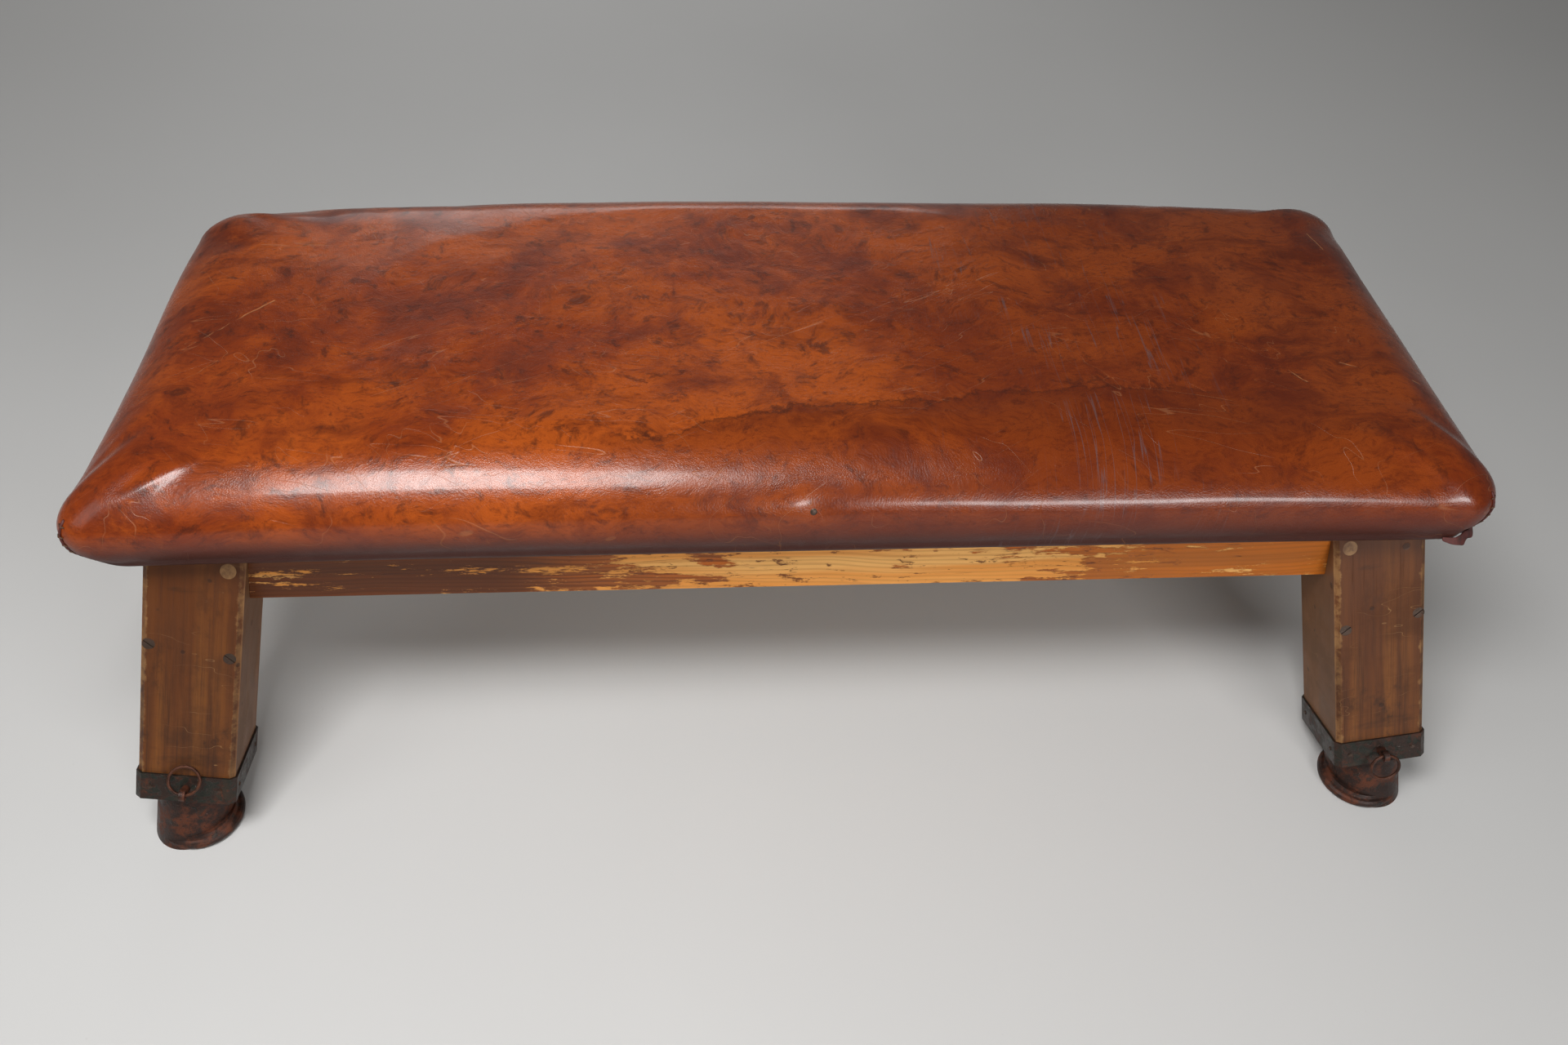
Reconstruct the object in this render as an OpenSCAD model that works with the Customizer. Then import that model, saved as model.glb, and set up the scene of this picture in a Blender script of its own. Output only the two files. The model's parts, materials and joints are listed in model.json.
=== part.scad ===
// Low gymnastics horse: a leather-covered bench on four splayed telescopic legs.
// Origin: centre of the footprint on the floor. +X runs along the bench, the front faces -Y.

/* [Seat] */
// Overall length of the leather seat
seat_l = 1480; // [1220:10:1780]
// Overall width of the leather seat
seat_w = 580; // [480:2:700]
// Height of the seat's crown above the floor
seat_top = 477; // [440:1:540]
// Height of the underside of the seat board
board_z = 358; // [335:1:400]
// Thickness of the seat board's planks
board_t = 24; // [18:1:32]
// How far the padding rolls out past the board's edge
roll_out = 36; // [24:1:50]
// Rise of the crown above the seat's edge roll
crown = 16; // [6:1:30]
// Radius of the seat's corners in plan
corner_r = 62; // [40:1:90]
// Thickness of the leather
leather_t = 3; // [2:0.5:5]

/* [Frame] */
// Height of the side rails
rail_h = 83; // [66:1:92]
// Thickness of the side rails
rail_t = 34; // [26:1:44]
// How far a side rail's face sits behind the legs' faces at the board
rail_setback = 4; // [2:1:14]
// Thickness of the end rails
end_rail_t = 30; // [24:1:40]
// Width of the cross battens under the board
batten_w = 60; // [40:1:90]
// Length of a tenon in its leg
tenon_l = 34; // [24:1:42]
// Diameter of the pegs through the tenons
peg_d = 16; // [12:1:20]

/* [Legs] */
// Distance from the board's end to a leg's outer face, at the board
leg_inset_x = 19; // [10:1:60]
// Distance from the board's long edge to a leg's front face, at the board
leg_inset_y = 12; // [8:1:30]
// Splay of the legs along the bench, in degrees
leg_splay_x = 11.5; // [7:0.5:14]
// Splay of the legs across the bench, in degrees
leg_splay_y = 22; // [16:0.5:25]
// Width of a leg's front face
leg_w = 100; // [90:1:120]
// Depth of a leg, front to back
leg_d = 113; // [104:1:136]
// Width of the worn chamfer on a leg's corners
leg_chamfer = 5; // [2:0.5:8]
// Height of the iron cuff on a leg's end
cuff_h = 33; // [30:1:42]
// Thickness of the cuff's iron
cuff_t = 2.5; // [1.5:0.5:4]
// Distance along the leg from the floor to the cuff's underside
cuff_s = 61; // [54:1:68]

/* [Feet and posts] */
// Diameter of the round post that slides in the leg
post_d = 58; // [48:1:64]
// Length of a post
post_l = 268; // [240:1:284]
// Radial clearance between a post and its leg
post_clear = 0.5; // [0.3:0.1:1]
// Spacing of the locking holes down a post
hole_pitch = 50; // [36:1:56]
// Diameter of the iron foot's sleeve
sleeve_d = 84; // [76:1:88]
// Diameter of the foot's round flange
flange_d = 95; // [92:1:110]
// How far the flange's centre lies inboard of the leg's line
flange_in = 8; // [0:1:10]
// Thickness of the flange's rolled rim
rim_t = 12; // [8:1:14]

/* [Locking pins] */
// Diameter of a locking pin
pin_d = 10; // [8:0.5:12]
// Radial clearance of a locking pin in its cuff and leg
pin_clear = 0.08; // [0.04:0.01:0.1]
// Diameter of the spring pocket in the leg
pocket_d = 20; // [18:1:21]
// Thickness of the pin's eye
eye_t = 6; // [4:0.5:7]
// Distance of the eye's centre from the cuff's face
eye_out = 12; // [11:0.5:14]
// Outside diameter of a pull ring
ring_d = 36; // [30:1:40]
// Diameter of the ring's wire
wire_d = 3.6; // [3:0.2:4]
// Angle at which a lowered ring stands out from plumb
ring_hang = 20; // [0:1:30]

/* [Fasteners] */
// Diameter of the slotted screw heads
screw_head_d = 13; // [9:0.5:15]
// Diameter of the screws' shanks
screw_d = 5; // [4:0.5:6]
// Diameter of the cuff nails' heads
nail_head_d = 5; // [4:0.5:7]
// Diameter of the upholstery tacks' heads
tack_head_d = 9; // [7:0.5:11]
// Number of tacks along each long side
tack_count = 16; // [8:1:22]

/* [Hidden] */

$fn = 64;
soft_fn = 32;
far = 2000;

wood_gap = 0.2;                       // fitting gap between wooden pieces
soft_gap = 0.3;                       // gap between layers of the seat
hole_gap = 0.1;                       // radial gap round fasteners

corners = [[-1, -1], [1, -1], [-1, 1], [1, 1]];
front_left = corners[0];
front_right = corners[1];
back_left = corners[2];
back_right = corners[3];

board_top = board_z + board_t;
board_l = seat_l - 2 * (roll_out + leather_t);
board_w = seat_w - 2 * (roll_out + leather_t);
plank_w = (board_w - 2 * wood_gap) / 3;
rail_z = board_z - rail_h;

// centre of a leg at the height of the seat board
slope_x = tan(leg_splay_x);
slope_y = tan(leg_splay_y) / cos(leg_splay_x);
leg_top_x = board_l / 2 - leg_inset_x - leg_w / 2 / cos(leg_splay_x);
leg_top_y = board_w / 2 - leg_inset_y - leg_d / 2 / cos(leg_splay_y);
foot_x = leg_top_x + slope_x * board_z;
foot_y = leg_top_y + slope_y * board_z;
leg_top_s = board_z / (cos(leg_splay_x) * cos(leg_splay_y));

rail_face_y = leg_top_y + leg_d / 2 / cos(leg_splay_y) - rail_setback;
rail_y = rail_face_y - rail_t / 2;
end_rail_x = leg_top_x;

tenon_t = rail_t / 2.4;
tenon_h = rail_h - 28;
tenon_x = foot_x - slope_x * (rail_z + rail_h / 2) - leg_w / 2 + tenon_l;
tenon_z = rail_z + rail_h / 2;
peg_x = tenon_x - tenon_l + peg_d / 2 + 5;
peg_z = tenon_z + tenon_h / 4;
end_tenon_y = foot_y - slope_y * tenon_z - leg_d / 2 + tenon_l * 0.55;

// the leather's edge under the board ends just before the side rails
hem_w = board_w / 2 - rail_face_y - 1.5;
lip_h = 4;
tack_r = 1.2;

leg_s = cuff_s + cuff_t;              // lower end of the wooden leg
post_r = post_d / 2;
post_s = 18;                          // lower end of the post, inside the foot
bore_r = post_r + post_clear;
bore_top = post_s + post_l + 6;

pin_r = pin_d / 2;
pin_s = cuff_s + cuff_h / 2;
pin_tip = post_r + 0.6;
cuff_face = leg_d / 2 + cuff_t;
collar_t = 4;
collar_r = pocket_d / 2 - 1;
pocket_bottom = post_r + 7;
collar_y = pocket_bottom + 0.4;
eye_r = 6.5;
eye_y = cuff_face + eye_out;
eye_hole_r = wire_d / 2 + 0.8;
ring_r = (ring_d - wire_d) / 2;
// angle at which a raised ring lies against the leg's face
ring_lean = asin((eye_out - wire_d / 2 - 0.8) / (2 * ring_r));
raised = 180 + leg_splay_y + ring_lean;

spring_wire = 1.4;
spring_r = collar_r - spring_wire / 2 - 0.2;
spring_from = collar_y + collar_t + spring_wire / 2 + 0.2;
spring_to = leg_d / 2 - spring_wire / 2 - 0.2;

leather_colour = "sienna";
pine_colour = "peru";
leg_colour = "saddlebrown";
iron_colour = "dimgray";

// ---- places ----

// Stands its children in the frame of one leg: z runs up the leg, -y is its face.
module on_leg(c) {
    mirror([c[0] > 0 ? 1 : 0, 0, 0])
        mirror([0, c[1] > 0 ? 1 : 0, 0])
            translate([-foot_x, -foot_y, 0])
                rotate([-leg_splay_y, leg_splay_x, 0])
                    children();
}

// Repeats its children in all four quarters of the bench.
module in_quarters() {
    for (c = corners)
        mirror([c[0] > 0 ? 1 : 0, 0, 0])
            mirror([0, c[1] > 0 ? 1 : 0, 0])
                children();
}

// Turns a cylinder's axis from z to the leg's outward normal, -y.
module outward() {
    rotate([90, 0, 0]) children();
}

// ---- seat ----

// One corner of the seat's roll, turned about a vertical axis.
module roll_corner(r, roll) {
    rotate_extrude($fn = soft_fn)
        translate([r - roll, 0])
            intersection() {
                circle(r = roll, $fn = soft_fn);
                translate([-(r - roll), -roll])
                    square([r, 2 * roll]);
            }
}

// Closed bolster shape of the seat, shrunk all round by inset.
module bolster(inset) {
    z0 = board_z + inset;
    z1 = seat_top - crown - inset;
    roll = (z1 - z0) / 2;
    r = max(corner_r - inset, roll + 1);
    hull() {
        for (c = corners)
            translate([c[0] * (seat_l / 2 - inset - r), c[1] * (seat_w / 2 - inset - r), (z0 + z1) / 2])
                roll_corner(r, roll);
        translate([-seat_l * 0.39, -seat_w * 0.26, z1])
            cube([seat_l * 0.78, seat_w * 0.52, crown * 0.72]);
        translate([-seat_l * 0.3, -seat_w * 0.1, z1])
            cube([seat_l * 0.6, seat_w * 0.2, crown]);
    }
}

// Space of the seat board, grown by a gap and open downwards.
module board_space(gap) {
    translate([-board_l / 2 - gap, -board_w / 2 - gap, board_z - far])
        cube([board_l + 2 * gap, board_w + 2 * gap, board_t + gap + far]);
}

// Tacks along the hem, between the legs on the long sides and across the ends.
module tack_places() {
    row = 2 * (leg_top_x - leg_w / 2 - 26);
    for (i = [0:tack_count - 1])
        for (side = [-1, 1])
            translate([row * (i / (tack_count - 1) - 0.5), side * (board_w - hem_w) / 2, 0])
                children();
    for (y = [-0.2:0.1:0.2])
        for (side = [-1, 1])
            translate([side * (board_l - hem_w) / 2, y * board_w, 0])
                children();
}

// A plate or ring round the board: its outer edge lies out, its inner edge in, from the board's.
module board_edge(out, in, z, h) {
    difference() {
        translate([-board_l / 2 - out, -board_w / 2 - out, z])
            cube([board_l + 2 * out, board_w + 2 * out, h]);
        translate([-board_l / 2 - in, -board_w / 2 - in, z - 1])
            cube([board_l + 2 * in, board_w + 2 * in, h + 2]);
    }
}

// The leather's edge, turned under the board and tacked to it.
module hem() {
    edge = soft_gap + leather_t;
    board_edge(edge, soft_gap, board_z - leather_t, leather_t + lip_h);
    difference() {
        board_edge(edge, -hem_w, board_z - leather_t, leather_t);
        in_quarters()
            leg_notch();
        tack_holes();
    }
}

// Room round the top of a leg, so that the hem stops short of it.
module leg_notch() {
    w = leg_w / 2 + 8;
    front = board_w / 2 - 4;
    translate([-leg_top_x - w, -front, board_z - leather_t - 1])
        cube([2 * w, front - leg_top_y, leather_t + 2]);
}

module leather_cover() {
    color(leather_colour) {
        difference() {
            bolster(0);
            bolster(leather_t);
            board_space(soft_gap);
        }
        hem();
    }
}

module padding() {
    color("tan")
        difference() {
            bolster(leather_t + soft_gap);
            board_space(soft_gap);
        }
}

// One plank of the seat board, at the given row from front to back.
module plank(row) {
    color(pine_colour)
        difference() {
            translate([-board_l / 2, -board_w / 2 + row * (plank_w + wood_gap), board_z])
                cube([board_l, plank_w, board_t]);
            plank_screw_holes();
            tack_holes();
        }
}

module front_plank() { plank(0); }
module middle_plank() { plank(1); }
module back_plank() { plank(2); }

// ---- frame ----

// Solid envelope of a leg, wide enough by grow to leave a gap.
module leg_envelope(grow) {
    translate([-leg_w / 2 - grow, -leg_d / 2 - grow, -100])
        cube([leg_w + 2 * grow, leg_d + 2 * grow, leg_top_s + 300]);
}

module side_tenon(grow) {
    translate([-tenon_x - grow, -rail_y - tenon_t / 2 - grow, tenon_z - tenon_h / 2 - grow])
        cube([tenon_l + leg_w / 2, tenon_t + 2 * grow, tenon_h + 2 * grow]);
}

module end_tenon(grow) {
    translate([-end_rail_x - tenon_t / 2 - grow, -end_tenon_y - grow, tenon_z - tenon_h / 2 - grow])
        cube([tenon_t + 2 * grow, leg_d / 2 + tenon_l, tenon_h + 2 * grow]);
}

module peg_hole(grow) {
    translate([-peg_x, -leg_top_y - leg_d, peg_z])
        rotate([-90, 0, 0])
            cylinder(r = peg_d / 2 + grow, h = leg_d * 1.45);
}

module tenon_pegs() {
    color("burlywood")
        in_quarters()
            intersection() {
                peg_hole(0);
                translate([-foot_x, -foot_y, 0])
                    rotate([-leg_splay_y, leg_splay_x, 0])
                        leg_envelope(0);
                translate([-far / 2, -far, 0])
                    cube([far, far - rail_y + tenon_t / 2 + 12, far]);
            }
}

module side_rail() {
    difference() {
        union() {
            difference() {
                translate([-foot_x, -rail_y - rail_t / 2, rail_z])
                    cube([2 * foot_x, rail_t, rail_h]);
                for (c = [front_left, front_right])
                    on_leg(c) leg_envelope(wood_gap);
            }
            for (m = [0, 1])
                mirror([m, 0, 0])
                    intersection() {
                        side_tenon(0);
                        translate([-tenon_x, -far / 2, 0])
                            cube([tenon_l + leg_w / 2, far, far]);
                    }
        }
        for (m = [0, 1])
            mirror([m, 0, 0])
                peg_hole(hole_gap);
        plank_screw_holes();
    }
}

module front_rail() {
    color(pine_colour)
        rail_between_legs();
}

module back_rail() {
    color(pine_colour)
        mirror([0, 1, 0])
            rail_between_legs();
}

// A side rail without the slivers that pass behind its legs.
module rail_between_legs() {
    intersection() {
        side_rail();
        translate([-tenon_x, -far / 2, 0])
            cube([2 * tenon_x, far, far]);
    }
}

module end_rail() {
    difference() {
        intersection() {
            union() {
                difference() {
                    translate([-end_rail_x - end_rail_t / 2, -foot_y, rail_z])
                        cube([end_rail_t, 2 * foot_y, rail_h]);
                    for (c = [front_left, back_left])
                        on_leg(c) leg_envelope(wood_gap);
                }
                for (m = [0, 1])
                    mirror([0, m, 0])
                        end_tenon(0);
            }
            translate([-far / 2, -end_tenon_y, 0])
                cube([far, 2 * end_tenon_y, far]);
        }
        for (m = [0, 1])
            mirror([0, m, 0])
                side_tenon(wood_gap);
        plank_screw_holes();
    }
}

module left_end_rail() {
    color(pine_colour) end_rail();
}

module right_end_rail() {
    color(pine_colour) mirror([1, 0, 0]) end_rail();
}

// A flat batten across the board, between the side rails.
module batten(x) {
    color(pine_colour)
        difference() {
            translate([x - batten_w / 2, -rail_y + rail_t / 2 + wood_gap, board_z - 26])
                cube([batten_w, 2 * (rail_y - rail_t / 2 - wood_gap), 26]);
            plank_screw_holes();
        }
}

batten_x = board_l / 6;
module left_batten() { batten(-batten_x); }
module right_batten() { batten(batten_x); }

// Glue blocks in the inside corners, behind the legs.
module corner_blocks() {
    block = 44;
    color("burlywood")
        in_quarters()
            translate([-batten_x - batten_w / 2 - wood_gap, -rail_y + rail_t / 2 + wood_gap, board_z - 40])
                linear_extrude(40 - wood_gap)
                    polygon([[0, 0], [-block, 0], [0, block]]);
}

module screw_rows() {
    for (x = [-batten_x, batten_x])
        for (y = [-0.3, -0.1, 0.1, 0.3])
            translate([x, y * board_w, 0])
                children();
    for (x = [-board_l * 0.3, 0, board_l * 0.3])
        for (side = [-1, 1])
            translate([x, side * rail_y, 0])
                children();
}

module plank_screw(grow) {
    translate([0, 0, board_top - 3 - grow])
        cylinder(r = screw_head_d / 2 + grow, h = 3 + 2 * grow, $fn = 32);
    translate([0, 0, board_top - 22 - board_t / 1.4])
        cylinder(r = screw_d / 2 + grow, h = 22 + board_t / 1.4 - 3, $fn = 24);
}

module plank_screw_holes() {
    screw_rows() plank_screw(hole_gap);
}

module plank_screws() {
    color(iron_colour)
        screw_rows()
            plank_screw(0);
}

// Holes for the tacks, through the hem and into the planks.
module tack_holes() {
    tack_places()
        translate([0, 0, board_z - leather_t - 1])
            cylinder(r = tack_r + hole_gap, h = leather_t + 13, $fn = 16);
}

// Round-headed tacks that hold the turned-under leather to the board.
module tacks() {
    color(iron_colour)
        tack_places() {
            translate([0, 0, board_z - leather_t])
                cylinder(r = tack_r, h = leather_t + 11, $fn = 16);
            translate([0, 0, board_z - leather_t - 1.6])
                cylinder(r = tack_head_d / 2, h = 1.6, $fn = 24);
        }
}

// ---- legs ----

module leg_screw_places() {
    for (place = [[-0.42, 254], [0.39, 245]])
        translate([place[0] * leg_w, -leg_d / 2, place[1]])
            children();
}

module cuff_nail_places() {
    for (x = [-0.36, 0.36])
        for (side = [-1, 1])
            translate([x * leg_w, side * cuff_face, pin_s])
                rotate([0, 0, side > 0 ? 180 : 0])
                    children();
    for (y = [-0.36, 0.36])
        for (side = [-1, 1])
            translate([side * (leg_w / 2 + cuff_t), y * leg_d, pin_s])
                rotate([0, 0, side * 90])
                    children();
}

module leg(c) {
    color(leg_colour)
        difference() {
            intersection() {
                on_leg(c)
                    translate([0, 0, leg_s])
                        linear_extrude(leg_top_s + 200)
                            leg_section();
                translate([-far / 2, -far / 2, 0])
                    cube([far, far, board_z - wood_gap]);
            }
            on_leg(c) {
                translate([0, 0, leg_s - 1])
                    cylinder(r = bore_r, h = bore_top - leg_s + 1);
                translate([0, 0, pin_s])
                    outward()
                        cylinder(r = pin_r + pin_clear, h = leg_d);
                translate([0, -pocket_bottom, pin_s])
                    outward()
                        cylinder(r = pocket_d / 2, h = leg_d);
                leg_screw_places()
                    screw_shape(hole_gap);
                cuff_nail_places()
                    nail_shape(hole_gap);
            }
            mirror([c[0] > 0 ? 1 : 0, 0, 0])
                mirror([0, c[1] > 0 ? 1 : 0, 0]) {
                    side_tenon(wood_gap);
                    end_tenon(wood_gap);
                    peg_hole(hole_gap);
                }
        }
}

// Cross section of a leg, square with worn corners.
module leg_section() {
    w = leg_w / 2;
    d = leg_d / 2;
    k = leg_chamfer;
    polygon([
        [-w + k, -d], [w - k, -d], [w, -d + k], [w, d - k],
        [w - k, d], [-w + k, d], [-w, d - k], [-w, -d + k]
    ]);
}

module cuff(c) {
    color(iron_colour)
        on_leg(c)
            difference() {
                translate([0, 0, cuff_s])
                    linear_extrude(cuff_h)
                        offset_section(cuff_t);
                translate([0, 0, leg_s])
                    linear_extrude(cuff_h)
                        offset_section(0);
                cylinder(r = bore_r, h = leg_s * 2);
                translate([0, 0, pin_s])
                    outward()
                        cylinder(r = pin_r + pin_clear, h = leg_d);
                cuff_nail_places()
                    nail_shape(hole_gap);
            }
}

// The leg's section grown all round by t, with the same chamfers.
module offset_section(t) {
    w = leg_w / 2 + t;
    d = leg_d / 2 + t;
    k = leg_chamfer + t * (2 - sqrt(2));
    polygon([
        [-w + k, -d], [w - k, -d], [w, -d + k], [w, d - k],
        [w - k, d], [-w + k, d], [-w, d - k], [-w, -d + k]
    ]);
}

// A slotted screw in the leg's face: its head lies just under the surface.
module screw_shape(grow) {
    head_h = 3;
    translate([0, head_h + grow, 0])
        outward()
            cylinder(r = screw_head_d / 2 + grow, h = head_h + 2 * grow + (grow > 0 ? 5 : 0), $fn = 32);
    translate([0, 24 + grow, 0])
        outward()
            cylinder(r = screw_d / 2 + grow, h = 24 - head_h + grow, $fn = 24);
}

module leg_screws() {
    color(iron_colour)
        for (c = corners)
            on_leg(c)
                leg_screw_places()
                    difference() {
                        screw_shape(0);
                        rotate([0, 35, 0])
                            translate([-screw_head_d, -1, -0.7])
                                cube([2 * screw_head_d, 2.2, 1.4]);
                    }
}

// A nail through the cuff, with its head proud of the iron.
module nail_shape(grow) {
    translate([0, 14 + grow, 0])
        outward()
            cylinder(r = 1.3 + grow, h = 14 + 2 * grow, $fn = 16);
}

module cuff_nails() {
    color(iron_colour)
        for (c = corners)
            on_leg(c)
                cuff_nail_places() {
                    nail_shape(0);
                    outward()
                        cylinder(r = nail_head_d / 2, h = 0.8, $fn = 24);
                    translate([0, -0.8, 0])
                        outward()
                            cylinder(r = nail_head_d / 3, h = 0.6, $fn = 24);
                }
}

// ---- posts and feet ----

module foot_screw_shape(grow) {
    translate([0, sleeve_d / 2 + 3, 36])
        outward()
            cylinder(r = 7 + grow, h = 4.5, $fn = 32);
    translate([0, sleeve_d / 2, 36])
        outward()
            cylinder(r = 3 + grow, h = 26 + grow, $fn = 24);
}

module foot_screw(c) {
    color(iron_colour)
        on_leg(c)
            foot_screw_shape(0);
}

module post(c) {
    color("burlywood")
        on_leg(c)
            difference() {
                translate([0, 0, post_s])
                    cylinder(r = post_r, h = post_l);
                for (i = [1:3])
                    translate([0, -post_r + 14, pin_s + i * hole_pitch])
                        outward()
                            cylinder(r = pin_r + 0.5, h = 20);
                foot_screw_shape(hole_gap);
            }
}

// Half section of the flange, from its flat sole to the sleeve.
module flange_section() {
    rim = rim_t / 2;
    sleeve = sleeve_d / 2;
    polygon(concat(
        [[0, 0], [flange_d / 2 - rim, 0]],
        [for (a = [-60:30:90]) [flange_d / 2 - rim + rim * cos(a), rim + rim * sin(a)]],
        [[sleeve - 3, rim_t + 4], [0, rim_t + 4]]
    ));
}

module foot(c) {
    color(iron_colour)
        difference() {
            intersection() {
                union() {
                    on_leg(c)
                        translate([0, 0, -60])
                            cylinder(r = sleeve_d / 2, h = 60 + cuff_s - 0.5);
                    translate([c[0] * (foot_x - flange_in), c[1] * foot_y, 0])
                        rotate_extrude()
                            flange_section();
                }
                translate([-far / 2, -far / 2, 0])
                    cube([far, far, far]);
            }
            on_leg(c) {
                translate([0, 0, post_s - hole_gap])
                    cylinder(r = post_r + hole_gap, h = 100);
                foot_screw_shape(hole_gap);
            }
        }
}

// ---- locking pins ----

module locking_pin(c) {
    color(iron_colour)
        on_leg(c)
            translate([0, 0, pin_s])
                difference() {
                    union() {
                        translate([0, -pin_tip, 0])
                            outward()
                                cylinder(r = pin_r, h = eye_y - pin_tip - eye_r + 3);
                        translate([0, -collar_y, 0])
                            outward()
                                cylinder(r = collar_r, h = collar_t);
                        translate([-eye_t / 2, -eye_y, 0])
                            rotate([0, 90, 0])
                                cylinder(r = eye_r, h = eye_t);
                    }
                    translate([-pin_d, -eye_y, 0])
                        rotate([0, 90, 0])
                            cylinder(r = eye_hole_r, h = 2 * pin_d);
                }
}

// A pull ring; its turn about the eye is 0 when it hangs plumb.
module pull_ring(c, turn) {
    color(iron_colour)
        on_leg(c)
            translate([0, -eye_y, pin_s])
                rotate([leg_splay_y - turn, 0, 0])
                    translate([0, 0, -ring_r])
                        rotate([90, 0, 0])
                            rotate_extrude()
                                translate([ring_r, 0])
                                    circle(r = wire_d / 2, $fn = 24);
}

coil_turns = 4;
coil_steps = 14;
coil_sides = 6;

// Centre of the spring's wire, i steps along it.
function coil_point(i) =
    let (a = i * 360 / coil_steps)
    let (t = i / (coil_turns * coil_steps))
    [spring_r * cos(a), -(spring_from + t * (spring_to - spring_from)), spring_r * sin(a)];

function coil_ring(i) =
    let (a = i * 360 / coil_steps)
    let (p = coil_point(i))
    [for (k = [0:coil_sides - 1])
        let (b = k * 360 / coil_sides)
        p + spring_wire / 2 * [cos(b) * cos(a), sin(b), cos(b) * sin(a)]];

module pin_spring(c) {
    n = coil_turns * coil_steps;
    sides = coil_sides;
    color("silver")
        on_leg(c)
            translate([0, 0, pin_s])
                polyhedron(
                    points = [for (i = [0:n]) for (q = coil_ring(i)) q],
                    faces = concat(
                        [[for (k = [0:sides - 1]) k]],
                        [[for (k = [0:sides - 1]) n * sides + sides - 1 - k]],
                        [for (i = [0:n - 1]) for (k = [0:sides - 1])
                            [i * sides + k, (i + 1) * sides + k,
                             (i + 1) * sides + (k + 1) % sides, i * sides + (k + 1) % sides]]
                    )
                );
}

leather_cover();
padding();
front_plank();
middle_plank();
back_plank();
front_rail();
back_rail();
left_end_rail();
right_end_rail();
left_batten();
right_batten();
corner_blocks();
leg(front_left);  // front_left_leg
leg(front_right);  // front_right_leg
leg(back_left);  // back_left_leg
leg(back_right);  // back_right_leg
cuff(front_left);  // front_left_cuff
cuff(front_right);  // front_right_cuff
cuff(back_left);  // back_left_cuff
cuff(back_right);  // back_right_cuff
post(front_left);  // front_left_post
post(front_right);  // front_right_post
post(back_left);  // back_left_post
post(back_right);  // back_right_post
foot(front_left);  // front_left_foot
foot(front_right);  // front_right_foot
foot(back_left);  // back_left_foot
foot(back_right);  // back_right_foot
foot_screw(front_left);  // front_left_foot_screw
foot_screw(front_right);  // front_right_foot_screw
foot_screw(back_left);  // back_left_foot_screw
foot_screw(back_right);  // back_right_foot_screw
locking_pin(front_left);  // front_left_locking_pin
locking_pin(front_right);  // front_right_locking_pin
locking_pin(back_left);  // back_left_locking_pin
locking_pin(back_right);  // back_right_locking_pin
pin_spring(front_left);  // front_left_pin_spring
pin_spring(front_right);  // front_right_pin_spring
pin_spring(back_left);  // back_left_pin_spring
pin_spring(back_right);  // back_right_pin_spring
pull_ring(front_left, raised);  // front_left_pull_ring
pull_ring(front_right, ring_hang);  // front_right_pull_ring
pull_ring(back_left, ring_hang);  // back_left_pull_ring
pull_ring(back_right, ring_hang);  // back_right_pull_ring
tenon_pegs();
leg_screws();
cuff_nails();
plank_screws();
tacks();
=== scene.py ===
import json
import math

import bpy
import numpy as np
from mathutils import Matrix, Vector, noise


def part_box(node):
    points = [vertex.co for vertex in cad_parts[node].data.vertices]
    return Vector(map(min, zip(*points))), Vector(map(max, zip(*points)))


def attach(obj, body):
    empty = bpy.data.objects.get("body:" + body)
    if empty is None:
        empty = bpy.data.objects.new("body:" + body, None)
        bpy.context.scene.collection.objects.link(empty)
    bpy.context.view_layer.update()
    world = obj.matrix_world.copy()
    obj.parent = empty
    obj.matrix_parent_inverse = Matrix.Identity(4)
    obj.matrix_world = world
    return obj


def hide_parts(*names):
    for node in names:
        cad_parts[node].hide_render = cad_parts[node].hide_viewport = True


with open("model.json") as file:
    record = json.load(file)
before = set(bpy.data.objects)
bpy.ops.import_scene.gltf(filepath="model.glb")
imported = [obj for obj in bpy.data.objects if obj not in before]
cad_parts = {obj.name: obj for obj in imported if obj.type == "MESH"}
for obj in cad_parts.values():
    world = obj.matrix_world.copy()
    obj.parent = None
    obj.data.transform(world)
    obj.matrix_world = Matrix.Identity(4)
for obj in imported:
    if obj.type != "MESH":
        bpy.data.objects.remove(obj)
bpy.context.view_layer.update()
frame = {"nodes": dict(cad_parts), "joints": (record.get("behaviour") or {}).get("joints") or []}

corners = ("front_left", "front_right", "back_left", "back_right")
joints = {joint["name"]: joint for joint in frame["joints"]}
print("frame loaded:", len(frame["nodes"]), "nodes")

cameraSetup = {
    "place": (-0.1247, -1.2063, 1.3421),
    "yaw": 0.1021,
    "pitch": 0.7809,
    "roll": -0.0534,
    "lens": 30.0,
}


def makeCamera():
    yaw, pitch, roll = cameraSetup["yaw"], cameraSetup["pitch"], cameraSetup["roll"]
    ahead = Vector((math.sin(yaw) * math.cos(pitch), math.cos(yaw) * math.cos(pitch), -math.sin(pitch)))
    level = Vector((math.cos(yaw), -math.sin(yaw), 0))
    below = ahead.cross(level)
    right = math.cos(roll) * level + math.sin(roll) * below
    down = -math.sin(roll) * level + math.cos(roll) * below
    camera = bpy.data.objects.new("camera", bpy.data.cameras.new("camera"))
    camera.data.lens = cameraSetup["lens"]
    camera.data.sensor_width = 36
    camera.data.clip_start = 0.02
    camera.matrix_world = Matrix.Translation(cameraSetup["place"]) @ Matrix(
        (right, -down, -ahead)).transposed().to_4x4()
    bpy.context.scene.collection.objects.link(camera)
    bpy.context.scene.camera = camera


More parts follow.
